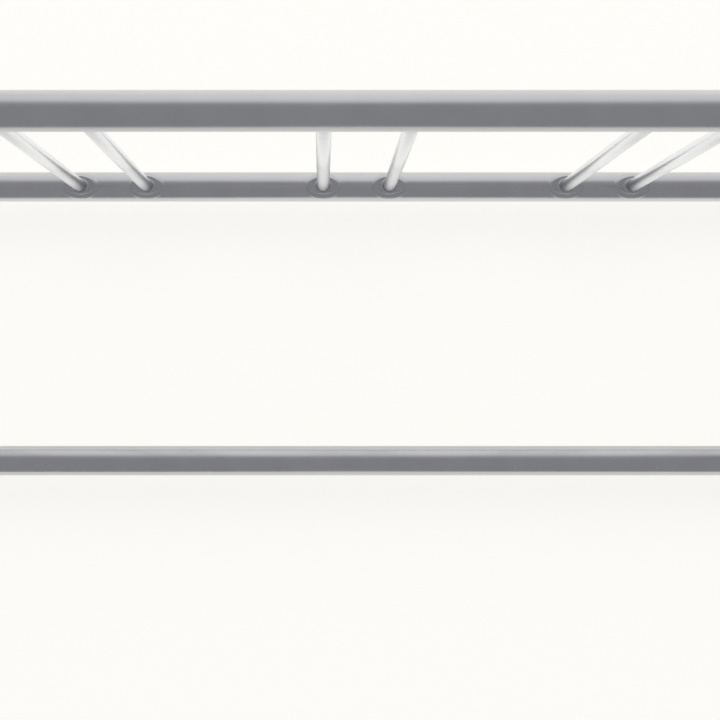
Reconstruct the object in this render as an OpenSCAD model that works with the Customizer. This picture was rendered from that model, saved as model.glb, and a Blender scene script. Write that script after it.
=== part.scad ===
// Single-sided floor rack for parking bicycles by the front wheel.
// Three long rails run between two bent end hoops: a high rail straight above a rear floor rail,
// and a front floor rail that stops the tyre. Pairs of upright bars hold each wheel.
// Origin: centre of the footprint, on the floor. X runs along the rails, +Y is the rear, +Z is up.

/* [Rails] */
// Outside diameter of the three rail tubes
rail_d = 38; // [32:0.5:40]
// Wall thickness of the rail tubes
rail_wall = 2; // [1.5:0.1:3]
// Distance between the axes of the two floor rails
floor_rail_spacing = 354; // [300:2:420]
// Height of the top rail's axis over the floor rails' axes
rail_rise = 756; // [600:2:860]
// Free height between the flanges' top and the floor rails' underside
rail_gap = 6; // [5:1:40]

/* [Wheel slots] */
// Number of wheel slots
slots = 5; // [2:1:7]
// Distance from one wheel slot to the next
slot_pitch = 312; // [260:2:400]
// Distance from the middle of an outer slot to the axis of the nearest hoop
end_bay = 156; // [140:2:240]
// Distance between the axes of a slot's two bars
bar_spacing = 85; // [60:1:110]
// Outside diameter of the bars
bar_d = 16; // [12:0.5:20]
// Wall thickness of the bars
bar_wall = 1.5; // [1:0.1:2.5]

/* [End hoops] */
// Outside diameter of the hoop tubes
hoop_d = 38; // [37:0.5:50]
// Wall thickness of the hoop tubes
hoop_wall = 2.5; // [2:0.1:4]
// Centreline radius of the bend at the top of a hoop
hoop_bend_r = 57; // [48:1:90]
// Straight length of a hoop's rear leg over the top rail's axis
hoop_head = 26; // [25:1:90]

/* [Floor flanges] */
// Side of the square flange under each leg
flange_side = 110; // [96:1:150]
// Thickness of a flange
flange_t = 6; // [5:0.5:12]
// Corner radius of a flange
flange_corner_r = 12; // [4:1:20]
// Distance between neighbouring anchor holes
anchor_spacing = 80; // [72:1:90]
// Diameter of an anchor hole
anchor_hole_d = 12; // [9:0.5:14]

/* [Bolted spigots] */
// Length of the spigots that the rails slide over, from the hoop's surface
spigot_len = 60; // [50:1:75]
// Wall thickness of the spigots
spigot_wall = 3; // [2:0.5:4]
// Radial clearance between a spigot and its rail
spigot_clearance = 0.15; // [0.1:0.05:0.4]
// Gap that the end of a rail leaves to the hoop
rail_end_gap = 3; // [2.5:0.5:6]
// Distance from the hoop's surface to the cross bolt
bolt_inset = 34; // [26:1:40]
// Thread diameter of the cross bolts
bolt_d = 8; // [6:1:10]
// Diameter of the saddle washers under bolt heads and nuts
washer_d = 20; // [18:1:24]
// Thickness of a saddle washer at its thinnest
washer_t = 2.5; // [1.5:0.5:4]

/* [Weld beads] */
// Leg of the beads at the ends of the bars, along the rail
bar_bead_run = 15; // [10:0.5:17]
// How far round the rail those beads reach down on either side, in degrees from its crest
bar_bead_wrap = 60; // [55:1:64]
// Leg of those beads up the bar, over their flat crown
bar_bead_rise = 5; // [3:0.5:10]
// Height of the flat crown over the rail's crest
bar_bead_crown = 1.2; // [1:0.1:2]
// Leg of the beads between hoop legs and flanges
flange_bead = 5; // [3:0.5:6]
// Leg of the beads between hoops and spigots
spigot_bead = 1.8; // [1:0.1:2.2]
// Thickness of every bead at its edge
bead_edge = 0.4; // [0.3:0.1:0.6]

/* [Hidden] */
$fn = 96;
steel = [0.62, 0.63, 0.66];
weld_steel = [0.56, 0.57, 0.60];
bolt_steel = [0.78, 0.78, 0.80];

// How much a bend draws the wall thin on either face, and how far a leg runs into a bend
bend_draw = 0.05;
bend_lap = 0.3;

// Fit clearances
cope_gap = 0.2;
bead_gap = 0.1;
bolt_clearance = 0.3;
thread_clearance = 0.1;
washer_seat_gap = 0.05;

// Facets of the beads: around the tube and along the hollow profile
bar_bead_sides = 24;
flange_bead_sides = 32;
bead_steps = 4;
crown_steps = 3;
bead_sink = 1;

// The crown of a bar's bead: its outline's roundness, how far out it lies between the bar and the
// toe along and across the rail, where the hollow up the bar ends, and the step at its edge
bead_roundness = 1.7;
crown_share_along = 0.87;
crown_share_across = 0.41;
crown_hollow_share = 0.34;
crown_fall = 0.3;
crown_step = 0.7;
skirt_along = 0.6;
skirt_across = 1.6;

// Radii
rail_r = rail_d / 2;
bar_r = bar_d / 2;
hoop_r = hoop_d / 2;
spigot_r = rail_r - rail_wall - spigot_clearance;
bolt_r = bolt_d / 2;

// Places of the three rails
rear_y = floor_rail_spacing / 2;
front_y = -floor_rail_spacing / 2;
floor_rail_z = flange_t + rail_gap + rail_r;
top_rail_z = floor_rail_z + rail_rise;

// Places along the rails
first_slot_x = -(slots - 1) / 2 * slot_pitch;
hoop_x = -first_slot_x + end_bay;
bolt_x = hoop_x - hoop_r - bolt_inset;
function slot_x(slot) = first_slot_x + (slot - 1) * slot_pitch;

// The rear leg stands upright behind the bend, and the front leg runs from the bend's far side
// down through the front floor rail's axis. Its lean is the slope of the line to the bend's
// centre, less the angle that the bend's radius takes up.
bend_y = rear_y - hoop_bend_r;
bend_z = top_rail_z + hoop_head;
centre_run = bend_y - front_y;
centre_rise = bend_z - floor_rail_z;
centre_reach = sqrt(pow(centre_run, 2) + pow(centre_rise, 2));
front_lean = atan(centre_run / centre_rise) - asin(hoop_bend_r / centre_reach);
front_leg_length = sqrt(pow(centre_reach, 2) - pow(hoop_bend_r, 2)) + 2 * hoop_d;
front_foot_y = front_y - (floor_rail_z - flange_t) * tan(front_lean);

// Cross bolts
bolt_head_r = 0.9 * bolt_d;
bolt_head_h = 0.55 * bolt_d;
socket_across = 0.62 * bolt_d;
nut_across = bolt_d < 8 ? 10 : bolt_d < 10 ? 13 : 17;
nut_h = 0.8 * bolt_d;
cap_wall = 1.2;
bolt_seat = rail_r + washer_t;
bolt_reach = bolt_seat + nut_h;

sides = [-1, 1];
side_names = ["left", "right"];
bar_names = [for (slot = [1 : slots]) for (name = side_names) str("wheel_bar_", slot, "_", name)];

// A rod or bore along X, centred on the YZ plane
module rod_x(r, length) {
    rotate([0, 90, 0]) cylinder(r = r, h = length, center = true);
}

// Places children at one rail's end: local +Z leaves the hoop along the rail, local X runs along
// the leg
module at_spigot(side, y, z, lean) {
    translate([side * hoop_x, y, z]) rotate([-lean, 0, 0]) rotate([0, -side * 90, 0]) children();
}

// Places children at every cross bolt, with local +Z pointing out at the bolt's head
module at_bolts() {
    for (side = sides) {
        translate([side * bolt_x, rear_y, top_rail_z]) rotate([-90, 0, 0]) children();
        translate([side * bolt_x, rear_y, floor_rail_z]) rotate([-90, 0, 0]) children();
        translate([side * bolt_x, front_y, floor_rail_z]) rotate([90, 0, 0]) children();
    }
}

// Weld beads. A bead's skin is swept round the tube it joins. A plain section is a hollow curve
// from a top point on the tube, through a corner near the root, to a toe on the other piece.
function mix(a, b, t) = a + (b - a) * t;
function hollow(top, corner, toe, t) = mix(mix(top, corner, t), mix(corner, toe, t), t);
function turn(k, count) = 360 * k / count;

// Radius at angle a of a bead's outline, from its half sizes along X and along Y
function outline_r(along, across, a) = pow(
    pow(abs(cos(a)) / along, bead_roundness) + pow(abs(sin(a)) / across, bead_roundness),
    -1 / bead_roundness);
function tube_z(r, y) = sqrt(pow(r, 2) - pow(y, 2));
function polar(r, a, z) = [r * cos(a), r * sin(a), z];

// Points of a bead where a branch tube of radius br, local +Z, stands on a tube of radius rr along
// local X: up the branch, over a flat crown to its rim, down a step, and along a skirt that hugs
// the rail to its toe
function skirt_r(rr, a) = rr + mix(skirt_along, skirt_across, pow(sin(a), 2));
function toe_r(rr, br, run, wrap, a) = outline_r(br + run, rr * sin(wrap), a);
function rim_r(rr, br, run, wrap, a) = outline_r(
    mix(br, br + run, crown_share_along), mix(br, rr * sin(wrap), crown_share_across), a);
function crown_points(rr, br, run, wrap, rise, crown, a) =
    let (edge = br + bead_edge, crest = rr + crown, rim = rim_r(rr, br, run, wrap, a))
    let (toe = toe_r(rr, br, run, wrap, a), step = rim + crown_step, skirt = skirt_r(rr, a))
    let (middle = (step + toe) / 2)
    concat(
        [for (i = [0 : crown_steps]) hollow(
            polar(edge, a, crest + rise),
            polar(edge, a, crest),
            polar(mix(edge, rim, crown_hollow_share), a, crest),
            i / crown_steps)],
        [polar(rim, a, crest - crown_fall)],
        [for (r = [step, middle, toe])
            polar(r, a, min(tube_z(skirt, r * sin(a)), crest - crown_fall - bead_gap))],
        [polar(toe, a, tube_z(rr - bead_sink, toe * sin(a)))]
    );

// Section points of a bead where a tube of radius br, leaning by lean, stands on a flat plate
function plate_root(br, lean, a) = [br * cos(a), br * sin(a) / cos(lean), 0];
function plate_toe(br, lean, run, lift, a) =
    plate_root(br, lean, a) + [run * cos(a), run * sin(a), lift];
function plate_top(br, lean, rise, a) =
    plate_root(br + bead_edge, lean, a) + rise * [0, sin(lean), cos(lean)];
function plate_corner(br, lean, a) = plate_root(br + bead_edge, lean, a) + [0, 0, bead_edge];

// A closed skin through rings of equal point counts, with a fan to a middle point at both ends
module skin(rings, first_middle, last_middle) {
    count = len(rings[0]);
    last = len(rings) - 1;
    points = concat([for (ring = rings) for (point = ring) point], [first_middle, last_middle]);
    first_hub = count * len(rings);
    last_hub = first_hub + 1;
    bands = [for (i = [0 : last - 1]) for (k = [0 : count - 1])
        let (a = i * count + k, b = i * count + (k + 1) % count)
        each [[a, b, b + count], [a, b + count, a + count]]];
    first_fan = [for (k = [0 : count - 1]) [first_hub, (k + 1) % count, k]];
    last_fan = [for (k = [0 : count - 1])
        [last_hub, last * count + k, last * count + (k + 1) % count]];
    polyhedron(points, concat(bands, first_fan, last_fan));
}

// Bead round a branch tube, local +Z, on a run tube along local X
module saddle_bead(rr, br, run, wrap, rise, crown, count) {
    columns = [for (k = [0 : count - 1]) crown_points(rr, br, run, wrap, rise, crown, turn(k, count))];
    rows = [for (i = [0 : len(columns[0]) - 1]) [for (column = columns) column[i]]];
    difference() {
        skin(rows, [0, 0, rr + crown + rise], [0, 0, 0]);
        rod_x(rr + bead_gap, 4 * (br + run));
        cylinder(r = br + bead_gap, h = 2 * (rr + rise));
    }
}

// Bead round a leaning tube on a plate whose top is z = 0
module plate_bead(br, lean, leg, count, steps) {
    turns = [for (k = [0 : count - 1]) turn(k, count)];
    rows = [for (i = [0 : steps]) [for (a = turns) hollow(
        plate_top(br, lean, leg, a),
        plate_corner(br, lean, a),
        plate_toe(br, lean, leg, bead_edge, a),
        i / steps)]];
    sunk = [for (a = turns) plate_toe(br, lean, leg, -bead_sink, a)];
    crown = plate_top(br, lean, leg, 0);
    deep = 2 * bead_sink;
    wide = 4 * (br + leg);
    difference() {
        skin(concat(rows, [sunk]), [0, crown.y, crown.z], [0, 0, -deep]);
        translate([-wide / 2, -wide / 2, bead_gap - wide]) cube(wide);
        rotate([-lean, 0, 0]) cylinder(r = br + bead_gap, h = wide, center = true);
    }
}

// The three rails
module rail(y, z, lean) {
    color(steel) difference() {
        translate([0, y, z]) rod_x(rail_r, 2 * hoop_x);
        translate([0, y, z]) rod_x(rail_r - rail_wall, 2 * hoop_x + 2);
        for (side = sides) {
            translate([side * hoop_x, y, z]) rotate([-lean, 0, 0])
                cylinder(r = hoop_r + rail_end_gap, h = 4 * rail_d, center = true);
            translate([side * bolt_x, y, z]) rotate([90, 0, 0])
                cylinder(r = bolt_r + bolt_clearance, h = 2 * rail_d, center = true);
        }
    }
}

module top_rail() {
    rail(rear_y, top_rail_z, 0);
}

module rear_floor_rail() {
    rail(rear_y, floor_rail_z, 0);
}

module front_floor_rail() {
    rail(front_y, floor_rail_z, front_lean);
}

// A bar is a tube whose two ends are coped to sit on the rails
module wheel_bar(slot, side) {
    x = slot_x(slot) + side * bar_spacing / 2;
    color(steel) difference() {
        translate([x, rear_y, floor_rail_z]) cylinder(r = bar_r, h = rail_rise);
        translate([x, rear_y, floor_rail_z - 1]) cylinder(r = bar_r - bar_wall, h = rail_rise + 2);
        for (z = [floor_rail_z, top_rail_z])
            translate([x, rear_y, z]) rod_x(rail_r + cope_gap, 4 * bar_d);
    }
}

// One bent rod: upright rear leg, bend over the top, front leg that leans back to the bend. Its
// origin is the bend's centre. Both legs run a little way into the bend, whose section differs from
// theirs by a hair, as a tube's wall draws thin in a bend.
module hoop_form(r, bent_r) {
    translate([0, hoop_bend_r, flange_t - bend_z]) cylinder(r = r, h = bend_z - flange_t + bend_lap);
    rotate([90, 0, 90]) rotate_extrude(angle = 180 - front_lean)
        translate([hoop_bend_r, 0]) circle(bent_r);
    rotate([-front_lean, 0, 0]) translate([0, -hoop_bend_r, -front_leg_length])
        cylinder(r = r, h = front_leg_length + bend_lap);
}

// The hoop is that rod made hollow, with its front leg cut level on top of the flange
module end_hoop(side) {
    bore_r = hoop_r - hoop_wall;
    below = 4 * hoop_d;
    color(steel) difference() {
        translate([side * hoop_x, bend_y, bend_z]) difference() {
            hoop_form(hoop_r, hoop_r - bend_draw);
            hoop_form(bore_r, bore_r + bend_draw);
        }
        translate([side * hoop_x - hoop_d, front_y - 2 * hoop_d, flange_t - below])
            cube([2 * hoop_d, 4 * hoop_d, below]);
    }
}

module flange(side, y) {
    inner = flange_side - 2 * flange_corner_r;
    color(steel) translate([side * hoop_x, y, 0]) linear_extrude(flange_t) difference() {
        union() {
            square([inner, flange_side], center = true);
            square([flange_side, inner], center = true);
            for (i = sides) for (j = sides) translate([i, j] * inner / 2) circle(flange_corner_r);
        }
        for (i = sides) for (j = sides)
            translate([i, j] * anchor_spacing / 2) circle(d = anchor_hole_d);
    }
}

// A spigot is coped to the hoop and drilled for the cross bolt
module spigot(side, y, z, lean) {
    color(steel) difference() {
        at_spigot(side, y, z, lean) difference() {
            cylinder(r = spigot_r, h = hoop_r + spigot_len);
            translate([0, 0, -1]) cylinder(r = spigot_r - spigot_wall, h = hoop_r + spigot_len + 2);
            rod_x(hoop_r + cope_gap, 4 * hoop_d);
        }
        translate([side * bolt_x, y, z]) rotate([90, 0, 0])
            cylinder(r = bolt_r + bolt_clearance, h = 2 * rail_d, center = true);
    }
}

// Dome-headed bolt with a hex socket, its shank across the rail
module cross_bolt() {
    cap_r = (pow(bolt_head_r, 2) + pow(bolt_head_h, 2)) / (2 * bolt_head_h);
    translate([0, 0, -bolt_reach]) cylinder(r = bolt_r, h = bolt_reach + bolt_seat);
    translate([0, 0, bolt_seat]) difference() {
        intersection() {
            translate([0, 0, bolt_head_h - cap_r]) sphere(cap_r);
            cylinder(r = bolt_head_r, h = bolt_head_h);
        }
        translate([0, 0, bolt_head_h / 2])
            cylinder(d = socket_across / cos(30), h = bolt_head_h, $fn = 6);
    }
}

module joint_bolts() {
    color(bolt_steel) at_bolts() cross_bolt();
}

// Washer with a flat face for the head or nut and a hollow face that seats on the rail
module saddle_washer() {
    difference() {
        cylinder(d = washer_d, h = bolt_seat);
        rod_x(rail_r + washer_seat_gap, 2 * washer_d);
        cylinder(r = bolt_r + bolt_clearance, h = 3 * rail_d, center = true);
    }
}

module joint_saddle_washers() {
    color(bolt_steel) at_bolts() for (flip = [0, 180]) rotate([flip, 0, 0]) saddle_washer();
}

module cap_nut() {
    dome_r = nut_across / 2 - 0.5;
    difference() {
        union() {
            cylinder(d = nut_across / cos(30), h = nut_h, $fn = 6);
            translate([0, 0, nut_h]) intersection() {
                sphere(dome_r);
                cylinder(r = nut_across, h = nut_across);
            }
        }
        translate([0, 0, -1]) cylinder(r = bolt_r + thread_clearance, h = nut_h + 1 + cap_wall);
    }
}

module joint_cap_nuts() {
    color(bolt_steel) at_bolts() translate([0, 0, -bolt_seat]) rotate([180, 0, 0]) cap_nut();
}

// Beads at the bars' feet, and the same beads upside down under the top rail
module bar_welds(z, flip) {
    color(weld_steel) for (slot = [1 : slots]) for (side = sides)
        translate([slot_x(slot) + side * bar_spacing / 2, rear_y, z]) rotate([flip, 0, 0])
            saddle_bead(rail_r, bar_r, bar_bead_run, bar_bead_wrap, bar_bead_rise, bar_bead_crown,
                bar_bead_sides);
}

module flange_welds() {
    color(weld_steel) for (side = sides) {
        translate([side * hoop_x, rear_y, flange_t])
            plate_bead(hoop_r, 0, flange_bead, flange_bead_sides, bead_steps);
        translate([side * hoop_x, front_foot_y, flange_t])
            plate_bead(hoop_r, front_lean, flange_bead, flange_bead_sides, bead_steps);
    }
}

// Bead round a spigot's root: what lies close over both the hoop's surface and the spigot's
module spigot_bead_ring() {
    difference() {
        intersection() {
            cylinder(r = spigot_r + spigot_bead, h = 2 * hoop_r);
            rod_x(hoop_r + spigot_bead, 4 * spigot_r);
        }
        rod_x(hoop_r + bead_gap, 5 * spigot_r);
        cylinder(r = spigot_r + bead_gap, h = 3 * hoop_r);
    }
}

module spigot_welds() {
    color(weld_steel) for (side = sides) {
        at_spigot(side, rear_y, top_rail_z, 0) spigot_bead_ring();
        at_spigot(side, rear_y, floor_rail_z, 0) spigot_bead_ring();
        at_spigot(side, front_y, floor_rail_z, front_lean) spigot_bead_ring();
    }
}

top_rail();
rear_floor_rail();
front_floor_rail();
for (slot = [1 : slots]) for (k = [0, 1])
    wheel_bar(slot, sides[k]);
end_hoop(-1);  // left_end_hoop
end_hoop(1);  // right_end_hoop
flange(-1, rear_y);  // left_rear_flange
flange(-1, front_y);  // left_front_flange
flange(1, rear_y);  // right_rear_flange
flange(1, front_y);  // right_front_flange
spigot(-1, rear_y, top_rail_z, 0);  // left_top_spigot
spigot(-1, rear_y, floor_rail_z, 0);  // left_rear_spigot
spigot(-1, front_y, floor_rail_z, front_lean);  // left_front_spigot
spigot(1, rear_y, top_rail_z, 0);  // right_top_spigot
spigot(1, rear_y, floor_rail_z, 0);  // right_rear_spigot
spigot(1, front_y, floor_rail_z, front_lean);  // right_front_spigot
joint_bolts();
joint_saddle_washers();
joint_cap_nuts();
bar_welds(floor_rail_z, 0);  // bar_welds_lower
bar_welds(top_rail_z, 180);  // bar_welds_upper
flange_welds();
spigot_welds();
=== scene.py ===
"""Looks of a floor-mounted bicycle rack: satin steel tubes, weld beads, bolted spigot joints.

Every piece is built here from the rack's own sizes, in metres, and stands for its solid of the
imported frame. X runs along the rails, +Y is the rear, +Z is up, and the floor is z = 0.
"""

import math

import bpy
import bmesh
import numpy as np
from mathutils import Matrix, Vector, noise


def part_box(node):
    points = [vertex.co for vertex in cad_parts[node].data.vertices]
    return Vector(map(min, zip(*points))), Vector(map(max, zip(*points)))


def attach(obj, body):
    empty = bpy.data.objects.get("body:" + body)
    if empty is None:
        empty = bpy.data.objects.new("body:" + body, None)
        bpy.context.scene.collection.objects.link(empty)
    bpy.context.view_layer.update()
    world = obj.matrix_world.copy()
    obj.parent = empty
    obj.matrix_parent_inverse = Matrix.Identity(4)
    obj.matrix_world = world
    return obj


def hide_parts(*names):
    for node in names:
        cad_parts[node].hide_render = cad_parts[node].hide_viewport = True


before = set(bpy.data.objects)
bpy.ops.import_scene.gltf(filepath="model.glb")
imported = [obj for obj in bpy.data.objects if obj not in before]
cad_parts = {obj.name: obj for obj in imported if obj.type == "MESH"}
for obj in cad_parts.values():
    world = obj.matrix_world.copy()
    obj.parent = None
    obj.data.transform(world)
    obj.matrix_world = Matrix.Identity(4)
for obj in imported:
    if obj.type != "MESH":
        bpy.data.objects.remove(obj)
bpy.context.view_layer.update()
MM = 0.001


def middle(node):
    """The middle of a CAD node's box."""
    low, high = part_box(node)
    return (low + high) / 2


# Sizes of the tubes, flanges and joints
RAIL_R = 19 * MM
RAIL_WALL = 2 * MM
BAR_R = 8 * MM
BAR_WALL = 1.5 * MM
HOOP_R = 19 * MM
HOOP_WALL = 2.5 * MM
BEND_R = 57 * MM
BEND_ABOVE_RAIL = 26 * MM
FLANGE_SIDE = 110 * MM
FLANGE_T = 6 * MM
FLANGE_CORNER = 12 * MM
FLANGE_SOFT = 0.7 * MM
ANCHOR_SPACING = 80 * MM
ANCHOR_R = 6 * MM
SPIGOT_R = 16.85 * MM
SPIGOT_WALL = 3 * MM
SPIGOT_LENGTH = 60 * MM
RAIL_END_GAP = 3 * MM
COPE_GAP = 0.2 * MM
BOLT_FROM_HOOP = 34 * MM
BOLT_R = 4 * MM
BOLT_HEAD_R = 7.2 * MM
BOLT_HEAD_H = 4.4 * MM
SOCKET_ACROSS = 4.96 * MM
WASHER_R = 10 * MM
WASHER_T = 2.5 * MM
NUT_ACROSS = 13 * MM
NUT_H = 6.4 * MM
EDGE_ROUND = 0.5 * MM
EDGE_MIDDLE = 0.3

# Sizes of the beads. A bar's foot bead rises up the bar, has a flat crown out to a rim, and a thin
# skirt that follows the rail from there down to the toe.
FLANGE_BEAD = 5 * MM
SPIGOT_BEAD = 1.8 * MM
BEAD_EDGE = 0.4 * MM
BEAD_SWELL = 0.07
FOOT_RUN = 15 * MM
FOOT_WRAP = math.radians(60)
FOOT_CROWN = 1.2 * MM
FOOT_RISE = 5 * MM
FOOT_STEP = 0.4 * MM
FOOT_SHIFT = 0.8 * MM
FOOT_SWELL = 0.03
HOLLOW_SHARE = 0.34
CROWN_LIP = 0.5 * MM
CROWN_FALL = 0.25 * MM
CROWN_TURN = 0.3 * MM
CROWN_WALL = 0.55 * MM
WALL_LEAN = 0.05 * MM
WALL_FOOT = 0.1 * MM
SKIRT_T = 0.6 * MM
SKIRT_SIDE_T = 1.0 * MM
SKIRT_DROP = 0.4 * MM
SKIRT_THIN_FROM = 0.45
TOE_EDGE = 0.08 * MM
RIM_ROUNDNESS = 1.7
TOE_ROUNDNESS = 2.2
RIM_SHARE_ALONG = 0.87
RIM_SHARE_ACROSS = 0.41
TOE_ALONG = BAR_R + FOOT_RUN
TOE_ACROSS = RAIL_R * math.sin(FOOT_WRAP)
RIM_ALONG = BAR_R + RIM_SHARE_ALONG * FOOT_RUN
RIM_ACROSS = BAR_R + RIM_SHARE_ACROSS * (TOE_ACROSS - BAR_R)

# Places, read from the frame
REAR_Y = middle("top_rail").y
FRONT_Y = middle("front_floor_rail").y
TOP_Z = middle("top_rail").z
FLOOR_RAIL_Z = middle("rear_floor_rail").z
HOOP_X = middle("right_rear_flange").x
BOLT_X = HOOP_X - HOOP_R - BOLT_FROM_HOOP
BEND_Y = REAR_Y - BEND_R
BEND_Z = TOP_Z + BEND_ABOVE_RAIL
centre_run = BEND_Y - FRONT_Y
centre_rise = BEND_Z - FLOOR_RAIL_Z
centre_reach = math.hypot(centre_run, centre_rise)
LEAN = math.atan2(centre_run, centre_rise) - math.asin(BEND_R / centre_reach)
SLOTS = 5
BARS = [f"wheel_bar_{slot}_{side}" for slot in range(1, SLOTS + 1) for side in ("left", "right")]
SIDES = (("left", -1), ("right", 1))

# Counts of steps round and along the pieces, angles in degrees that stay smooth, and the seeds
# of the beads' unevenness
AROUND = 96
BAR_AROUND = 64
HOLE_AROUND = 48
SMALL_AROUND = 72
BEND_STEPS = 72
RISE_STEPS = 10
CROWN_STEPS = 6
TURN_STEPS = 4
SKIRT_STEPS = 8
SMOOTH_ANGLE = 40
BEAD_SMOOTH_ANGLE = 60
FOOT_SMOOTH_ANGLE = 50
FLANGE_SMOOTH_ANGLE = 50
SMALL_SMOOTH_ANGLE = 35
UPPER_SEED = 40
FLANGE_SEED = 80
SPIGOT_SEED = 90


# Meshes

def add_mesh(name, verts, faces, own, sharp=SMOOTH_ANGLE):
    """An object from points and faces; own holds each point's place in its piece's own frame."""
    mesh = bpy.data.meshes.new(name)
    mesh.from_pydata([tuple(v) for v in verts], [], [tuple(f) for f in faces])
    work = bmesh.new()
    work.from_mesh(mesh)
    bmesh.ops.recalc_face_normals(work, faces=work.faces)
    work.to_mesh(mesh)
    work.free()
    attribute = mesh.attributes.new("own_place", "FLOAT_VECTOR", "POINT")
    attribute.data.foreach_set("vector", np.asarray(own, np.float32).ravel())
    mesh.shade_smooth()
    mesh.set_sharp_from_angle(angle=math.radians(sharp))
    obj = bpy.data.objects.new(name, mesh)
    bpy.context.scene.collection.objects.link(obj)
    return obj


def band_faces(first, second, count):
    """Faces between two closed rings of count points that start at these indices."""
    return [
        (first + k, first + (k + 1) % count, second + (k + 1) % count, second + k)
        for k in range(count)
    ]


def loft_data(rings, start=0, loop=True, caps=False):
    """Faces over rings of equal point counts. loop joins the last ring to the first, and caps
    closes both ends."""
    count = len(rings[0])
    total = len(rings)
    faces = []
    for i in range(total if loop else total - 1):
        faces += band_faces(start + i * count, start + (i + 1) % total * count, count)
    if caps:
        faces.append(tuple(start + k for k in range(count)))
        faces.append(tuple(start + (total - 1) * count + k for k in range(count)))
    return faces


class Group:
    """Collects several lofts into one object."""

    def __init__(self):
        self.verts, self.own, self.faces = [], [], []

    def loft(self, rings, own=None, loop=True, caps=False):
        own = rings if own is None else own
        self.faces += loft_data(rings, len(self.verts), loop, caps)
        for ring, place in zip(rings, own):
            self.verts += [tuple(p) for p in ring]
            self.own += [tuple(p) for p in place]

    def make(self, name, sharp=SMOOTH_ANGLE):
        return add_mesh(name, self.verts, self.faces, self.own, sharp)


def circle_turns(count=AROUND):
    return [2 * math.pi * k / count for k in range(count)]


def wall_rows(outer, inner, steps):
    """(radius, share, offset) rows round a tube's wall: outer face, high end, inner face, low end.

    share runs from 0 at the low end to 1 at the high end, and offset rounds the edge there."""
    e = EDGE_ROUND
    soft = EDGE_MIDDLE * e
    rows = []
    for i in range(steps + 1):
        rows.append((outer, i / steps, e if i == 0 else -e if i == steps else 0))
    rows += [(outer - soft, 1, -soft), (outer - e, 1, 0), (inner + e, 1, 0), (inner, 1, -e)]
    rows += [(inner, 0, e), (inner + e, 0, 0), (outer - e, 0, 0), (outer - soft, 0, soft)]
    return rows


def add_tube(group, outer, wall, low_end, high_end, place, steps=2, count=AROUND):
    """A hollow tube whose ends follow low_end and high_end, functions of the wall point (a, b).

    place(a, b, s) gives the point in space of the tube's own point (a, b) at s along it."""
    rings, owns = [], []
    for radius, share, offset in wall_rows(outer, outer - wall, steps):
        ring, own = [], []
        for t in circle_turns(count):
            a, b = radius * math.cos(t), radius * math.sin(t)
            low, high = low_end(a, b), high_end(a, b)
            s = low + (high - low) * share + offset
            ring.append(place(a, b, s))
            own.append((a, b, s))
        rings.append(ring)
        owns.append(own)
    group.loft(rings, owns)


# Rails: tubes along X, coped to stand clear of the hoops

def make_rail(name, y, z, lean):
    reach = HOOP_R + RAIL_END_GAP

    def end(a, b):
        across = a * math.cos(lean) - b * math.sin(lean)
        return HOOP_X - math.sqrt(reach**2 - across**2)

    group = Group()
    add_tube(group, RAIL_R, RAIL_WALL, lambda a, b: -end(a, b), end,
             lambda a, b, s: (s, y + a, z + b))
    return group.make(name)


# Bars: upright tubes coped to sit on the rails

def make_bar(name, x):
    reach = RAIL_R + COPE_GAP

    def rise(a, b):
        return math.sqrt(reach**2 - b**2)

    group = Group()
    add_tube(group, BAR_R, BAR_WALL, lambda a, b: FLOOR_RAIL_Z + rise(a, b),
             lambda a, b: TOP_Z - rise(a, b), lambda a, b, s: (x + a, REAR_Y + b, s),
             count=BAR_AROUND)
    return group.make(name)


# Hoops: one bent tube each

def hoop_path():
    """(centre y, centre z, tangent y, tangent z, length so far) from rear foot to front foot."""
    path = [(REAR_Y, FLANGE_T, 0.0, 1.0, 0.0), (REAR_Y, BEND_Z, 0.0, 1.0, BEND_Z - FLANGE_T)]
    turn = math.pi - LEAN
    for i in range(1, BEND_STEPS + 1):
        t = turn * i / BEND_STEPS
        path.append((BEND_Y + BEND_R * math.cos(t), BEND_Z + BEND_R * math.sin(t),
                     -math.sin(t), math.cos(t), BEND_Z - FLANGE_T + BEND_R * t))
    y, z, ty, tz, s = path[-1]
    run = (z - FLANGE_T) / -tz
    path.append((y + ty * run, z + tz * run, ty, tz, s + run))
    return path


def make_hoop(name, x):
    path = hoop_path()
    feet = (path[0], path[-1])
    e = EDGE_ROUND
    inner = HOOP_R - HOOP_WALL

    def ring(radius, station, offset=0.0):
        y, z, ty, tz, s = station
        points, own = [], []
        for t in circle_turns():
            a, b = radius * math.cos(t), radius * math.sin(t)
            # The leg ends are level cuts, so a point slides along the leg to the flange's top
            py, pz = y - tz * b, z + ty * b
            slide = (FLANGE_T - pz) / tz if station in feet else 0.0
            slide += offset
            points.append((x + a, py + ty * slide, pz + tz * slide))
            own.append((a, b, s + slide))
        return points, own

    pairs = [ring(HOOP_R, path[0], e)]
    pairs += [ring(HOOP_R, station) for station in path[1:-1]]
    pairs += [ring(HOOP_R, path[-1], -e), ring(HOOP_R - e, path[-1]), ring(inner, path[-1])]
    pairs += [ring(inner, station) for station in path[-2:0:-1]]
    pairs += [ring(inner, path[0]), ring(HOOP_R - e, path[0])]
    group = Group()
    group.loft([p for p, _ in pairs], [o for _, o in pairs])
    return group.make(name)


# Flanges: plates with rounded corners, softened edges and four anchor holes

def rounded_outline(side, corner, per_corner=12):
    """Points round a square with rounded corners."""
    inner = side / 2 - corner
    points = []
    for quarter, (sx, sy) in enumerate(((1, 1), (-1, 1), (-1, -1), (1, -1))):
        for i in range(per_corner + 1):
            t = math.pi / 2 * (quarter + i / per_corner)
            points.append((sx * inner + corner * math.cos(t), sy * inner + corner * math.sin(t)))
    return points


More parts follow.
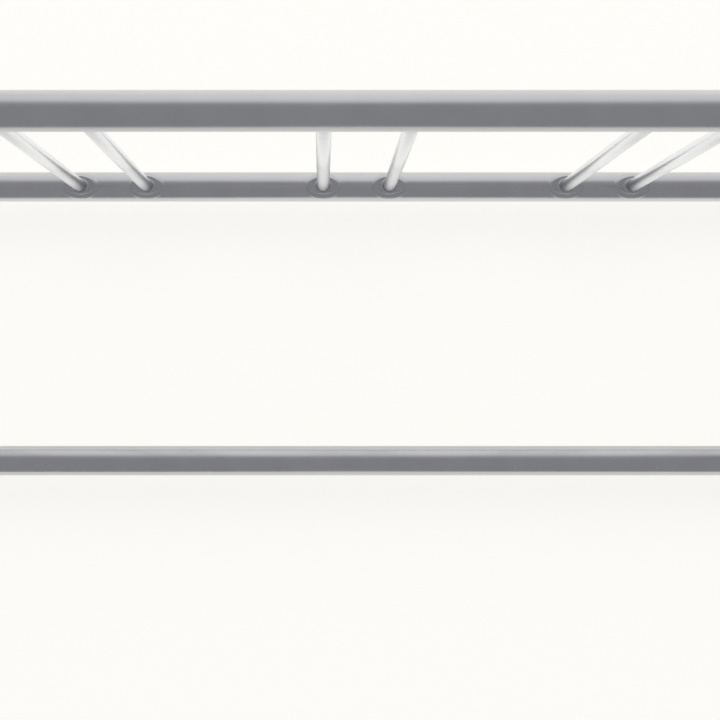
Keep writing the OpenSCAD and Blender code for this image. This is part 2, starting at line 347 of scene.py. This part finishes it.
def make_flange(name, x, y):
    curve = bpy.data.curves.new(name, "CURVE")
    curve.dimensions = "2D"
    curve.fill_mode = "BOTH"
    curve.extrude = FLANGE_T / 2 - FLANGE_SOFT
    curve.bevel_depth = FLANGE_SOFT
    curve.bevel_resolution = 3
    curve.offset = -FLANGE_SOFT
    outlines = [rounded_outline(FLANGE_SIDE, FLANGE_CORNER)]
    for sx in (-1, 1):
        for sy in (-1, 1):
            cx, cy = sx * ANCHOR_SPACING / 2, sy * ANCHOR_SPACING / 2
            outlines.append([(cx + ANCHOR_R * math.cos(t), cy + ANCHOR_R * math.sin(t))
                             for t in circle_turns(HOLE_AROUND)])
    for outline in outlines:
        spline = curve.splines.new("POLY")
        spline.points.add(len(outline) - 1)
        for point, (px, py) in zip(spline.points, outline):
            point.co = (px, py, 0, 1)
        spline.use_cyclic_u = True
    shape = bpy.data.objects.new(name + "_outline", curve)
    bpy.context.scene.collection.objects.link(shape)
    depsgraph = bpy.context.evaluated_depsgraph_get()
    mesh = bpy.data.meshes.new_from_object(shape.evaluated_get(depsgraph))
    bpy.data.objects.remove(shape)
    bpy.data.curves.remove(curve)
    work = bmesh.new()
    work.from_mesh(mesh)
    bmesh.ops.remove_doubles(work, verts=work.verts, dist=0.01 * MM)
    bpy.data.meshes.remove(mesh)
    verts = [(v.co.x + x, v.co.y + y, v.co.z + FLANGE_T / 2) for v in work.verts]
    own = [(v.co.x, v.co.y, v.co.z) for v in work.verts]
    faces = [[v.index for v in f.verts] for f in work.faces]
    work.free()
    return add_mesh(name, verts, faces, own, sharp=FLANGE_SMOOTH_ANGLE)


# Spigots and their joints. A joint's own frame has +Z along the rail, away from the hoop, and X
# along the leg.

def joint_place(side, y, z, lean):
    """A function from a joint's own point to space."""
    leg = Vector((0, math.sin(lean), math.cos(lean)))
    out = Vector((-side, 0, 0))
    across = out.cross(leg)
    base = Vector((side * HOOP_X, y, z))
    return lambda a, b, s: tuple(base + leg * a + across * b + out * s)


JOINTS = [
    (f"{name}_{rail}", side, y, z, lean)
    for name, side in SIDES
    for rail, y, z, lean in (
        ("top", REAR_Y, TOP_Z, 0.0),
        ("rear", REAR_Y, FLOOR_RAIL_Z, 0.0),
        ("front", FRONT_Y, FLOOR_RAIL_Z, LEAN),
    )
]


def make_spigot(name, side, y, z, lean):
    """A tube whose root is coped to sit on the hoop's leg."""
    reach = HOOP_R + COPE_GAP

    def root(a, b):
        return math.sqrt(reach**2 - b**2)

    group = Group()
    add_tube(group, SPIGOT_R, SPIGOT_WALL, root, lambda a, b: HOOP_R + SPIGOT_LENGTH,
             joint_place(side, y, z, lean))
    return group.make(name)


# Weld beads: a hollow section swept round the tube, with faint rings and an uneven toe

def wobble(t, seed, scale):
    """Smooth noise round a bead, which closes on itself after a full turn."""
    return noise.noise(Vector((math.cos(t) * scale, math.sin(t) * scale, 7.3 * seed)))


def bend_mix(first, corner, last, u):
    """A point on the curve from first to last that leaves both along the lines to the corner."""
    return (1 - u) ** 2 * first + 2 * u * (1 - u) * corner + u**2 * last


def outline_radius(t, along, across, roundness):
    """Radius at turn t of a bead's outline, from its half sizes along and across the rail."""
    c, s = abs(math.cos(t)), abs(math.sin(t))
    total = (c / along) ** roundness + (s / across) ** roundness
    return total ** (-1 / roundness)


def add_bead(group, section, place, seed, rings_shown, ring_height, steps=20):
    """section(t, ease) gives top, corner, toe, inner top, inner root and under-toe at turn t."""
    inner_rows = 3
    near = 0.02
    rows = [[] for _ in range(steps + 1 + inner_rows)]
    for t in circle_turns():
        ease = 1 + BEAD_SWELL * wobble(t, seed, 1.6)
        top, corner, toe, inner_top, root, under = section(t, ease)
        shift = 0.35 * wobble(t, seed + 0.37, 2.3)
        height = ring_height * 0.6 * (1 + wobble(t, seed + 0.71, 1.2))
        for i in range(steps + 1):
            u = i / steps
            point = bend_mix(top, corner, toe, u)
            ahead = bend_mix(top, corner, toe, min(u + near, 1))
            behind = bend_mix(top, corner, toe, max(u - near, 0))
            along = (ahead - behind).normalized()
            outward = corner - (top + toe) / 2
            outward = (outward - along * outward.dot(along)).normalized()
            fade = math.sin(math.pi * u) ** 0.7
            wave = math.sin(2 * math.pi * (rings_shown * u + shift))
            rows[i].append(place(*(point - outward * height * fade * wave)))
        for row, point in enumerate((under, root, inner_top)):
            rows[steps + 1 + row].append(place(*point))
    group.loft(rows)


def saddle_section(run_r, branch_r, run, rise):
    """Section of a bead where a branch along Z stands on a tube along X."""
    edge_r = branch_r + BEAD_EDGE

    def section(t, ease):
        c, s = math.cos(t), math.sin(t)
        leg = run * ease
        turn = math.asin(branch_r * s / run_r) + leg * s / run_r
        toe_r = run_r + BEAD_EDGE
        toe = Vector(((branch_r + leg) * c, toe_r * math.sin(turn), toe_r * math.cos(turn)))
        under = Vector((toe.x, run_r * math.sin(turn), run_r * math.cos(turn)))
        base = math.sqrt(run_r**2 - (branch_r * s) ** 2)
        top = Vector((edge_r * c, edge_r * s, base + rise * ease))
        corner = Vector((top.x, top.y, toe.z + (toe.y - top.y) * math.tan(turn)))
        root = Vector((branch_r * c, branch_r * s, base))
        inner_top = Vector((root.x, root.y, top.z))
        return top, corner, toe, inner_top, root, under

    return section


def plate_section(branch_r, lean, leg):
    """Section of a bead where a leaning tube stands on a plate, whose top is z = 0."""
    def root_at(r, c, s):
        return Vector((r * c, r * s / math.cos(lean), 0))

    up = Vector((0, math.sin(lean), math.cos(lean)))

    def section(t, ease):
        c, s = math.cos(t), math.sin(t)
        toe_flat = root_at(branch_r, c, s) + Vector((c, s, 0)) * leg * ease
        edge = root_at(branch_r + BEAD_EDGE, c, s)
        top = edge + up * leg * ease
        corner = edge + Vector((0, 0, BEAD_EDGE))
        toe = toe_flat + Vector((0, 0, BEAD_EDGE))
        root = root_at(branch_r, c, s)
        return top, corner, toe, root + up * leg * ease, root, toe_flat

    return section


def smooth_share(u):
    """A share that leaves 0 and reaches 1 without a corner."""
    u = min(max(u, 0), 1)
    return u * u * (3 - 2 * u)


def foot_profile(t, seed):
    """Points down a bar's foot bead at turn t: up the bar, over its flat crown, down to the toe."""
    c, s = math.cos(t), math.sin(t)
    swell = 1 + FOOT_SWELL * wobble(t, seed, 1.5)
    edge = BAR_R + BEAD_EDGE
    rim = outline_radius(t, RIM_ALONG, RIM_ACROSS, RIM_ROUNDNESS) * swell + FOOT_SHIFT * s
    toe = outline_radius(t, TOE_ALONG, TOE_ACROSS, TOE_ROUNDNESS) * (2 + swell) / 3
    hollow = edge + (rim - edge) * HOLLOW_SHARE
    crest = RAIL_R + FOOT_CROWN
    skirt = RAIL_R + SKIRT_T + SKIRT_SIDE_T * s**2
    skirt_end = skirt + (RAIL_R + TOE_EDGE - skirt) * c**4

    def at(r, z):
        return Vector((r * c, r * s, z))

    def on_skirt(r, shell=skirt):
        return at(r, min(math.sqrt(shell**2 - (r * s) ** 2), crest - SKIRT_DROP))

    top = at(edge, crest + FOOT_RISE * swell)
    points = [bend_mix(top, at(edge, crest), at(hollow, crest), i / RISE_STEPS)
              for i in range(RISE_STEPS)]
    for i in range(CROWN_STEPS + 1):
        share = i / CROWN_STEPS
        points.append(at(hollow + (rim - CROWN_LIP - hollow) * share, crest - CROWN_FALL * share))
    crown_edge = points[-1]
    turned = at(rim + WALL_LEAN, crest - CROWN_WALL)
    points += [bend_mix(crown_edge, at(rim, crest - CROWN_TURN), turned, i / TURN_STEPS)
               for i in range(1, TURN_STEPS + 1)]
    start = rim + FOOT_STEP
    points += [bend_mix(turned, on_skirt(rim + WALL_FOOT), on_skirt(start), i / TURN_STEPS)
               for i in range(1, TURN_STEPS + 1)]
    for i in range(1, SKIRT_STEPS + 1):
        share = i / SKIRT_STEPS
        thinned = smooth_share((share - SKIRT_THIN_FROM) / (1 - SKIRT_THIN_FROM))
        shell = skirt + (skirt_end - skirt) * thinned
        points.append(on_skirt(start + (toe - start) * share, shell))
    toe_lip = skirt_end - RAIL_R
    for i in range(1, TURN_STEPS + 1):
        turn = math.pi / 2 * i / TURN_STEPS
        out = toe + 0.5 * toe_lip * math.sin(turn)
        points.append(on_skirt(out, RAIL_R + toe_lip * math.cos(turn)))
    points.append(at(BAR_R, math.sqrt(RAIL_R**2 - (BAR_R * s) ** 2)))
    points.append(at(BAR_R, crest + FOOT_RISE * swell))
    return points


def make_bar_welds(name, z, up):
    """The beads of all bars on the rail at height z; up is 1 on its upper side, -1 on its lower."""
    first_seed = 0 if up > 0 else UPPER_SEED
    group = Group()
    for seed, bar in enumerate(BARS):
        x = middle(bar).x
        columns = [foot_profile(t, first_seed + seed) for t in circle_turns()]
        rings = [[(x + p.x, REAR_Y + p.y, z + up * p.z) for p in row] for row in zip(*columns)]
        group.loft(rings)
    return group.make(name, sharp=FOOT_SMOOTH_ANGLE)


def make_flange_welds(name):
    group = Group()
    foot_y = FRONT_Y - (FLOOR_RAIL_Z - FLANGE_T) * math.tan(LEAN)
    for _, side in SIDES:
        for k, (y, lean) in enumerate(((REAR_Y, 0.0), (foot_y, LEAN))):
            add_bead(group, plate_section(HOOP_R, lean, FLANGE_BEAD),
                     lambda a, b, s, y=y: (side * HOOP_X + a, y + b, FLANGE_T + s),
                     FLANGE_SEED + 2 * side + k, rings_shown=1.5, ring_height=0.12 * MM)
    return group.make(name, sharp=BEAD_SMOOTH_ANGLE)


def make_spigot_welds(name):
    group = Group()
    section = saddle_section(HOOP_R, SPIGOT_R, SPIGOT_BEAD, SPIGOT_BEAD)
    for seed, (_, side, y, z, lean) in enumerate(JOINTS):
        add_bead(group, section, joint_place(side, y, z, lean), SPIGOT_SEED + seed,
                 rings_shown=0.5, ring_height=0.03 * MM, steps=8)
    return group.make(name, sharp=BEAD_SMOOTH_ANGLE)


# Cross bolts, saddle washers and cap nuts. A bolt's own frame has +Z out at its head.

SEAT = RAIL_R + WASHER_T
NUT_END = -SEAT - NUT_H


def bolt_places():
    """For each bolt, a function from its own point to space."""
    places = []
    for _, side, y, z, _ in JOINTS:
        out = Vector((0, 1 if y > 0 else -1, 0))
        along = Vector((1, 0, 0))
        third = out.cross(along)
        base = Vector((side * BOLT_X, y, z))
        places.append(lambda a, b, s, base=base, along=along, third=third, out=out:
                      tuple(base + along * a + third * b + out * s))
    return places


def hexagon(t, across):
    """Distance from the middle to a hexagon's side in direction t."""
    sector = math.pi / 3
    return across / 2 / math.cos((t % sector) - sector / 2)


def add_turned(group, rows, place):
    """A capped shape from rows of (radius or function of the turn, height), swept round Z."""
    rings = []
    for radius, height in rows:
        rings.append([
            place(r * math.cos(t), r * math.sin(t), height)
            for t in circle_turns(SMALL_AROUND)
            for r in [radius(t) if callable(radius) else radius]
        ])
    group.loft(rings, loop=False, caps=True)


def make_bolts(name):
    """Bolts with a domed head and a hexagon socket."""
    chamfer, head_soft, socket_soft = 0.6 * MM, 0.3 * MM, 0.25 * MM
    cap_r = (BOLT_HEAD_R**2 + BOLT_HEAD_H**2) / (2 * BOLT_HEAD_H)
    rim = SOCKET_ACROSS / 2 + 0.9 * MM
    rows = [(BOLT_R - chamfer, NUT_END), (BOLT_R, NUT_END + chamfer), (BOLT_R, SEAT)]
    rows += [(BOLT_HEAD_R - head_soft, SEAT), (BOLT_HEAD_R, SEAT + head_soft)]
    low = 2 * head_soft
    dome_h = BOLT_HEAD_H - low - socket_soft
    dome_steps = 14
    for i in range(dome_steps + 1):
        height = low + dome_h * math.sin(math.pi / 2 * i / dome_steps)
        radius = math.sqrt(cap_r**2 - (height + cap_r - BOLT_HEAD_H) ** 2)
        rows.append((max(radius, rim), SEAT + height))
    top = SEAT + BOLT_HEAD_H - 0.2 * MM
    floor = SEAT + BOLT_HEAD_H / 2
    rows.append((lambda t: hexagon(t, SOCKET_ACROSS) + socket_soft, top))
    rows.append((lambda t: hexagon(t, SOCKET_ACROSS), top - 0.3 * MM))
    rows.append((lambda t: hexagon(t, SOCKET_ACROSS), floor))
    rows.append((0.5 * MM, floor - 0.7 * MM))
    group = Group()
    for place in bolt_places():
        add_turned(group, rows, place)
    return group.make(name, sharp=SMALL_SMOOTH_ANGLE)


def make_washers(name):
    """Round washers whose inner face fits the rail, one under each head and each nut."""
    bore = BOLT_R + 0.3 * MM
    soft = 0.35 * MM
    profile = (
        (bore, None), (bore, SEAT - soft), (bore + soft, SEAT), (WASHER_R - soft, SEAT),
        (WASHER_R - EDGE_MIDDLE * soft, SEAT - EDGE_MIDDLE * soft), (WASHER_R, SEAT - soft),
        (WASHER_R, None),
    )
    group = Group()
    for place in bolt_places():
        for flip in (1, -1):
            rings = []
            for radius, height in profile:
                ring = []
                for t in circle_turns(SMALL_AROUND):
                    a, b = radius * math.cos(t), radius * math.sin(t)
                    s = math.sqrt(RAIL_R**2 - b**2) if height is None else height
                    ring.append(place(a, flip * b, flip * s))
                rings.append(ring)
            group.loft(rings)
    return group.make(name, sharp=SMALL_SMOOTH_ANGLE)


def make_nuts(name):
    """Hexagon nuts with a domed cap, chamfered at both ends of the hexagon."""
    flat_r = NUT_ACROSS / 2
    corner_r = NUT_ACROSS / math.sqrt(3)
    chamfer_r = flat_r * 0.985
    dome_r = flat_r - 0.5 * MM
    chamfer = 0.9 * MM
    neck, neck_soft = 0.15 * MM, 0.05 * MM

    def hex_row(limit):
        return lambda t: min(hexagon(t, NUT_ACROSS), limit)

    rows = [(BOLT_R + 0.1 * MM, -SEAT - 0.2 * MM), (BOLT_R + 0.6 * MM, -SEAT)]
    for i in range(6):
        share = i / 5
        limit = flat_r + (corner_r - flat_r) * share
        rows.append((hex_row(limit), -SEAT - 0.5 * chamfer * share))
    for i in range(7):
        share = 1 - i / 6
        limit = chamfer_r + (corner_r - chamfer_r) * share
        rows.append((hex_row(limit), NUT_END + chamfer * share))
    rows.append((dome_r + neck, NUT_END - neck_soft))
    dome_steps = 13
    for i in range(dome_steps):
        t = math.pi / 2 * i / dome_steps
        rows.append((dome_r * math.cos(t), NUT_END - neck - (dome_r - neck) * math.sin(t)))
    rows.append((0.2 * MM, NUT_END - dome_r))
    group = Group()
    for place in bolt_places():
        add_turned(group, rows, place)
    return group.make(name, sharp=SMALL_SMOOTH_ANGLE)


# Materials

def map_range(tree, value, low, high, to_low=0.0, to_high=1.0):
    """The value taken from low..high to to_low..to_high, held at both ends."""
    node = tree.nodes.new("ShaderNodeMapRange")
    node.inputs["From Min"].default_value = low
    node.inputs["From Max"].default_value = high
    node.inputs["To Min"].default_value = to_low
    node.inputs["To Max"].default_value = to_high
    tree.links.new(value, node.inputs["Value"])
    return node.outputs["Result"]


def combine(tree, operation, first, second):
    """One value from two, by a math node's operation."""
    node = tree.nodes.new("ShaderNodeMath")
    node.operation = operation
    tree.links.new(first, node.inputs[0])
    tree.links.new(second, node.inputs[1])
    return node.outputs["Value"]


def own_place(tree):
    """Each point's place in its piece's own frame."""
    place = tree.nodes.new("ShaderNodeAttribute")
    place.attribute_name = "own_place"
    return place.outputs["Vector"]


def split_vector(tree, vector, axis):
    """One part of a vector: X, Y or Z."""
    split = tree.nodes.new("ShaderNodeSeparateXYZ")
    tree.links.new(vector, split.inputs["Vector"])
    return split.outputs[axis]


def object_place(tree):
    """Each point's place in its object's own frame."""
    return tree.nodes.new("ShaderNodeTexCoord").outputs["Object"]


def paint_shade_near_welds(material):
    """Paint shade on a bar: multiply its colour by a share that falls towards the weld at either
    end, so the bar darkens where it meets a rail.
    """
    tree = material.node_tree
    shader = tree.nodes["Principled BSDF"]
    height = split_vector(tree, own_place(tree), "Z")
    colour = shader.inputs["Base Color"].links[0].from_socket
    # Painted shade: the bar's colour darkens towards each weld, where it meets a rail
    for weld_z, up in ((FLOOR_RAIL_Z + RAIL_R, 1), (TOP_Z - RAIL_R, -1)):
        share = map_range(tree, height, weld_z, weld_z + up * PAINTED_SHADE_REACH, PAINTED_SHADE_SHARE, 1.0)
        shade_mix = tree.nodes.new("ShaderNodeMix")
        shade_mix.data_type = "RGBA"
        shade_mix.blend_type = "MULTIPLY"
        shade_mix.inputs["Factor"].default_value = 1.0
        tree.links.new(colour, shade_mix.inputs["A"])
        tree.links.new(share, shade_mix.inputs["B"])
        colour = shade_mix.outputs["Result"]
    tree.links.new(colour, shader.inputs["Base Color"])


def make_steel(name, colour, rough, stretch, rough_swing=0.03, tint_swing=0.025, bump=0.05):
    """Satin steel: faint drawn lines along the tube in gloss and level, and soft mottling."""
    material = bpy.data.materials.new(name)
    material.use_nodes = True
    tree = material.node_tree
    nodes, links = tree.nodes, tree.links
    shader = nodes["Principled BSDF"]
    shader.inputs["Metallic"].default_value = 1.0
    place = own_place(tree)

    lines_map = nodes.new("ShaderNodeMapping")
    lines_map.inputs["Scale"].default_value = stretch
    links.new(place, lines_map.inputs["Vector"])
    lines = nodes.new("ShaderNodeTexNoise")
    lines.inputs["Scale"].default_value = 1.0
    lines.inputs["Detail"].default_value = 3.0
    lines.inputs["Roughness"].default_value = 0.6
    links.new(lines_map.outputs["Vector"], lines.inputs["Vector"])

    mottle = nodes.new("ShaderNodeTexNoise")
    mottle.inputs["Scale"].default_value = 28.0
    mottle.inputs["Detail"].default_value = 4.0
    links.new(place, mottle.inputs["Vector"])

    colours = nodes.new("ShaderNodeMix")
    colours.data_type = "RGBA"
    colours.inputs["A"].default_value = (*[c * (1 - tint_swing) for c in colour], 1)
    colours.inputs["B"].default_value = (*[min(c * (1 + tint_swing), 1) for c in colour], 1)
    links.new(map_range(tree, mottle.outputs["Fac"], 0.3, 0.7), colours.inputs["Factor"])
    links.new(colours.outputs["Result"], shader.inputs["Base Color"])

    both = combine(tree, "ADD", lines.outputs["Fac"], mottle.outputs["Fac"])
    gloss = map_range(tree, both, 0.6, 1.4, rough - rough_swing, rough + rough_swing)
    links.new(gloss, shader.inputs["Roughness"])

    relief = nodes.new("ShaderNodeBump")
    relief.inputs["Strength"].default_value = bump
    relief.inputs["Distance"].default_value = 0.05 * MM
    links.new(lines.outputs["Fac"], relief.inputs["Height"])
    links.new(relief.outputs["Normal"], shader.inputs["Normal"])
    return material


# Colours, how far from a weld the bars carry painted shade, and how fine the lines are across and
# along
GREY = (0.600, 0.604, 0.622)
# The bars' grey is lighter than the rails', though the frame is one steel: a painted sheen that
# stands in for the bright glancing reflection along the bars
BAR_GREY = (0.853, 0.860, 0.888)
WELD_GREY = (0.565, 0.570, 0.588)
PLATED = (0.72, 0.72, 0.735)
PAINTED_SHADE_REACH = 105 * MM
PAINTED_SHADE_SHARE = 0.62
ALONG = (900, 900, 12)
EVEN = (260, 260, 260)
MATERIALS = {
    "rail_steel": make_steel("rail_steel", GREY, 0.25, ALONG),
    "bar_steel": make_steel("bar_steel", BAR_GREY, 0.28, ALONG,
                            rough_swing=0.012, tint_swing=0.01, bump=0.03),
    "hoop_steel": make_steel("hoop_steel", GREY, 0.25, ALONG),
    "flange_steel": make_steel("flange_steel", GREY, 0.30, EVEN),
    "spigot_steel": make_steel("spigot_steel", GREY, 0.28, ALONG),
    "bolt_steel": make_steel("bolt_steel", PLATED, 0.24, EVEN),
    "weld_steel": make_steel("weld_steel", WELD_GREY, 0.28, EVEN, bump=0.12),
}
# Painted shade on the bars, darker towards the welds at both ends
paint_shade_near_welds(MATERIALS["bar_steel"])


def finish_piece(obj, slot, *nodes):
    """Give a piece its material and slot, and let it stand for the CAD nodes."""
    obj.data.materials.append(MATERIALS[slot])
    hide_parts(*nodes)
    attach(obj, "root")


def dress():
    """Make every piece of the rack."""
    for node, y, z, lean in (("top_rail", REAR_Y, TOP_Z, 0.0),
                             ("rear_floor_rail", REAR_Y, FLOOR_RAIL_Z, 0.0),
                             ("front_floor_rail", FRONT_Y, FLOOR_RAIL_Z, LEAN)):
        finish_piece(make_rail(node + "_tube", y, z, lean), "rail_steel", node)
    for bar in BARS:
        finish_piece(make_bar(bar + "_tube", middle(bar).x), "bar_steel", bar)
    for side_name, side in SIDES:
        node = side_name + "_end_hoop"
        finish_piece(make_hoop(node + "_tube", side * HOOP_X), "hoop_steel", node)
        for place, y in (("rear", REAR_Y), ("front", FRONT_Y)):
            node = f"{side_name}_{place}_flange"
            finish_piece(make_flange(node + "_plate", side * HOOP_X, y), "flange_steel", node)
    for name, side, y, z, lean in JOINTS:
        node = name + "_spigot"
        finish_piece(make_spigot(node + "_tube", side, y, z, lean), "spigot_steel", node)
    finish_piece(make_bolts("dome_head_bolts"), "bolt_steel", "joint_bolts")
    finish_piece(make_washers("saddle_washers"), "bolt_steel", "joint_saddle_washers")
    finish_piece(make_nuts("cap_nuts"), "bolt_steel", "joint_cap_nuts")
    for level, z, up in (("lower", FLOOR_RAIL_Z, 1), ("upper", TOP_Z, -1)):
        beads = make_bar_welds("bar_beads_" + level, z, up)
        finish_piece(beads, "weld_steel", "bar_welds_" + level)
    finish_piece(make_flange_welds("flange_beads"), "weld_steel", "flange_welds")
    finish_piece(make_spigot_welds("spigot_beads"), "weld_steel", "spigot_welds")


dress()


# Studio. The floor is pale and keeps a soft shadow. A dome round it all is grey overhead and in
# front, and brightens towards the rear. Far from the rack the floor shows the plain background.

BACKGROUND = (0.991, 0.982, 0.939)
DOME_DARK_TINT = (0.985, 0.99, 1.03)
DOME_LIGHT_TINT = (1.0, 0.995, 0.985)
DOME_R = 30.0
DOME_DIVISIONS = 5
# Degrees from upright towards the rear, and the dome's grey there
DOME_GREYS = (
    (15, 0.335), (24, 0.35), (30, 0.40), (35, 0.50), (40, 0.66), (45, 0.79), (52, 0.86),
    (60, 0.90), (75, 0.96), (90, 1.0),
)
# How far the floor reaches in front, and to the sides and the rear
FLOOR_FRONT = 2.7
FLOOR_REACH = 20.3
FLOOR_BELOW = 0.2 * MM
FLOOR_PAINT = 0.8
FLOOR_OWN_LIGHT = 0.68
# Places along Y, and how bright the floor there is in reflections
FLOOR_REFLECTED = (
    (-0.9, 0.50), (-0.35, 0.66), (-0.22, 0.66), (-0.17, 0.56), (0.03, 0.68), (0.08, 0.76),
    (0.157, 0.76), (0.22, 0.70), (0.9, 0.74),
)
# How far from the rack the floor starts to turn into the plain background, and has done so
FLOOR_NEAR = 2.9
FLOOR_FAR = 6.0
FAR_REFLECTED = 1.10


def shows_white(tree):
    """A value that is 1 for rays from the camera, off metal or through glass."""
    path = tree.nodes.new("ShaderNodeLightPath")
    value = path.outputs["Is Camera Ray"]
    for other in ("Is Glossy Ray", "Is Transmission Ray"):
        value = combine(tree, "MAXIMUM", value, path.outputs[other])
    return value


def camera_level(tree, seen, reflected=0.0):
    """A value that is seen for camera rays, reflected for all others, and the latter's socket."""
    path = tree.nodes.new("ShaderNodeLightPath")
    level = tree.nodes.new("ShaderNodeMix")
    level.inputs["A"].default_value = reflected
    level.inputs["B"].default_value = seen
    tree.links.new(path.outputs["Is Camera Ray"], level.inputs["Factor"])
    return level.outputs["Result"], level.inputs["A"]


def add_ramp(tree, value, stops):
    """The value's colour on a ramp of (position, colour) stops."""
    ramp = tree.nodes.new("ShaderNodeValToRGB")
    elements = ramp.color_ramp.elements
    while len(elements) > 1:
        elements.remove(elements[-1])
    for k, (position, colour) in enumerate(stops):
        stop = elements[0] if k == 0 else elements.new(position)
        stop.position = position
        stop.color = colour
    tree.links.new(value, ramp.inputs["Fac"])
    return ramp.outputs["Color"]


def own_light(tree):
    """The floor's own light: even for the camera, and by its place along Y for reflections."""
    front, back = FLOOR_REFLECTED[0][0], FLOOR_REFLECTED[-1][0]
    share = map_range(tree, split_vector(tree, object_place(tree), "Y"), front, back)
    stops = [((y - front) / (back - front), (level, level, level, 1))
             for y, level in FLOOR_REFLECTED]
    seen, reflected = camera_level(tree, FLOOR_OWN_LIGHT)
    tree.links.new(add_ramp(tree, share, stops), reflected)
    return seen


def far_share(tree):
    """0 on the floor near the rack, 1 far away, where the floor shows the plain background."""
    length = tree.nodes.new("ShaderNodeVectorMath")
    length.operation = "LENGTH"
    tree.links.new(object_place(tree), length.inputs[0])
    return map_range(tree, length.outputs["Value"], FLOOR_NEAR, FLOOR_FAR)


def empty_material(name):
    """A material with an output only, and its tree and output node."""
    material = bpy.data.materials.new(name)
    material.use_nodes = True
    material.node_tree.nodes.clear()
    output = material.node_tree.nodes.new("ShaderNodeOutputMaterial")
    return material, material.node_tree, output


def background_glow(tree, level):
    """The background's colour as light, at a level, for the rays that see white."""
    glow = tree.nodes.new("ShaderNodeEmission")
    glow.inputs["Color"].default_value = (*BACKGROUND, 1)
    tree.links.new(combine(tree, "MULTIPLY", shows_white(tree), level), glow.inputs["Strength"])
    return glow.outputs["Emission"]


def make_floor():
    mesh = bpy.data.meshes.new("floor")
    corners = ((-FLOOR_REACH, -FLOOR_FRONT), (FLOOR_REACH, -FLOOR_FRONT),
               (FLOOR_REACH, FLOOR_REACH), (-FLOOR_REACH, FLOOR_REACH))
    mesh.from_pydata([(x, y, -FLOOR_BELOW) for x, y in corners], [], [(0, 1, 2, 3)])
    floor = bpy.data.objects.new("floor", mesh)
    bpy.context.scene.collection.objects.link(floor)
    material, tree, output = empty_material("pale_floor")
    paint = tree.nodes.new("ShaderNodeBsdfDiffuse")
    paint.inputs["Color"].default_value = (*[c * FLOOR_PAINT for c in BACKGROUND], 1)
    near = tree.nodes.new("ShaderNodeAddShader")
    tree.links.new(paint.outputs["BSDF"], near.inputs[0])
    tree.links.new(background_glow(tree, own_light(tree)), near.inputs[1])
    far = background_glow(tree, camera_level(tree, 1.0, FAR_REFLECTED)[0])
    whole = tree.nodes.new("ShaderNodeMixShader")
    tree.links.new(far_share(tree), whole.inputs["Fac"])
    tree.links.new(near.outputs["Shader"], whole.inputs[1])
    tree.links.new(far, whole.inputs[2])
    tree.links.new(whole.outputs["Shader"], output.inputs["Surface"])
    mesh.materials.append(material)


def make_dome():
    work = bmesh.new()
    bmesh.ops.create_icosphere(work, subdivisions=DOME_DIVISIONS, radius=DOME_R)
    mesh = bpy.data.meshes.new("dome")
    work.to_mesh(mesh)
    work.free()
    mesh.shade_smooth()
    dome = bpy.data.objects.new("dome", mesh)
    bpy.context.scene.collection.objects.link(dome)
    material, tree, output = empty_material("dome_glow")
    share = map_range(tree, split_vector(tree, object_place(tree), "Y"), 0.0, DOME_R)
    darkest, lightest = DOME_GREYS[0][1], DOME_GREYS[-1][1]
    stops = []
    for degrees, grey in DOME_GREYS:
        light = (grey - darkest) / (lightest - darkest)
        tint = [d + (b - d) * light for d, b in zip(DOME_DARK_TINT, DOME_LIGHT_TINT)]
        stops.append((math.sin(math.radians(degrees)), (*[grey * part for part in tint], 1)))
    glow = tree.nodes.new("ShaderNodeEmission")
    tree.links.new(add_ramp(tree, share, stops), glow.inputs["Color"])
    tree.links.new(glow.outputs["Emission"], output.inputs["Surface"])
    material.cycles.emission_sampling = "NONE"
    mesh.materials.append(material)
    dome.visible_camera = False


def make_world():
    world = bpy.data.worlds.new("studio")
    bpy.context.scene.world = world
    world.use_nodes = True
    tree = world.node_tree
    tree.nodes.clear()
    output = tree.nodes.new("ShaderNodeOutputWorld")
    backdrop = tree.nodes.new("ShaderNodeBackground")
    backdrop.inputs["Color"].default_value = (*BACKGROUND, 1)
    tree.links.new(shows_white(tree), backdrop.inputs["Strength"])
    tree.links.new(backdrop.outputs["Background"], output.inputs["Surface"])


# The camera looks straight down, with the photograph's up along +Y
FRAME_PX = 720
FOCAL_PX = 1970.8
NADIR_PX = (321.2, 367.4)
CAMERA_PLACE = (-0.045, -0.0564, 2.580)


def make_camera():
    data = bpy.data.cameras.new("camera")
    camera = bpy.data.objects.new("camera", data)
    bpy.context.scene.collection.objects.link(camera)
    data.sensor_width = 36
    data.lens = FOCAL_PX / FRAME_PX * data.sensor_width
    data.shift_x = (FRAME_PX / 2 - NADIR_PX[0]) / FRAME_PX
    data.shift_y = (NADIR_PX[1] - FRAME_PX / 2) / FRAME_PX
    data.clip_start = 0.05
    data.clip_end = 200
    camera.location = CAMERA_PLACE
    bpy.context.scene.camera = camera


make_floor()
make_dome()
make_world()
make_camera()
bpy.context.scene.view_settings.view_transform = "Standard"
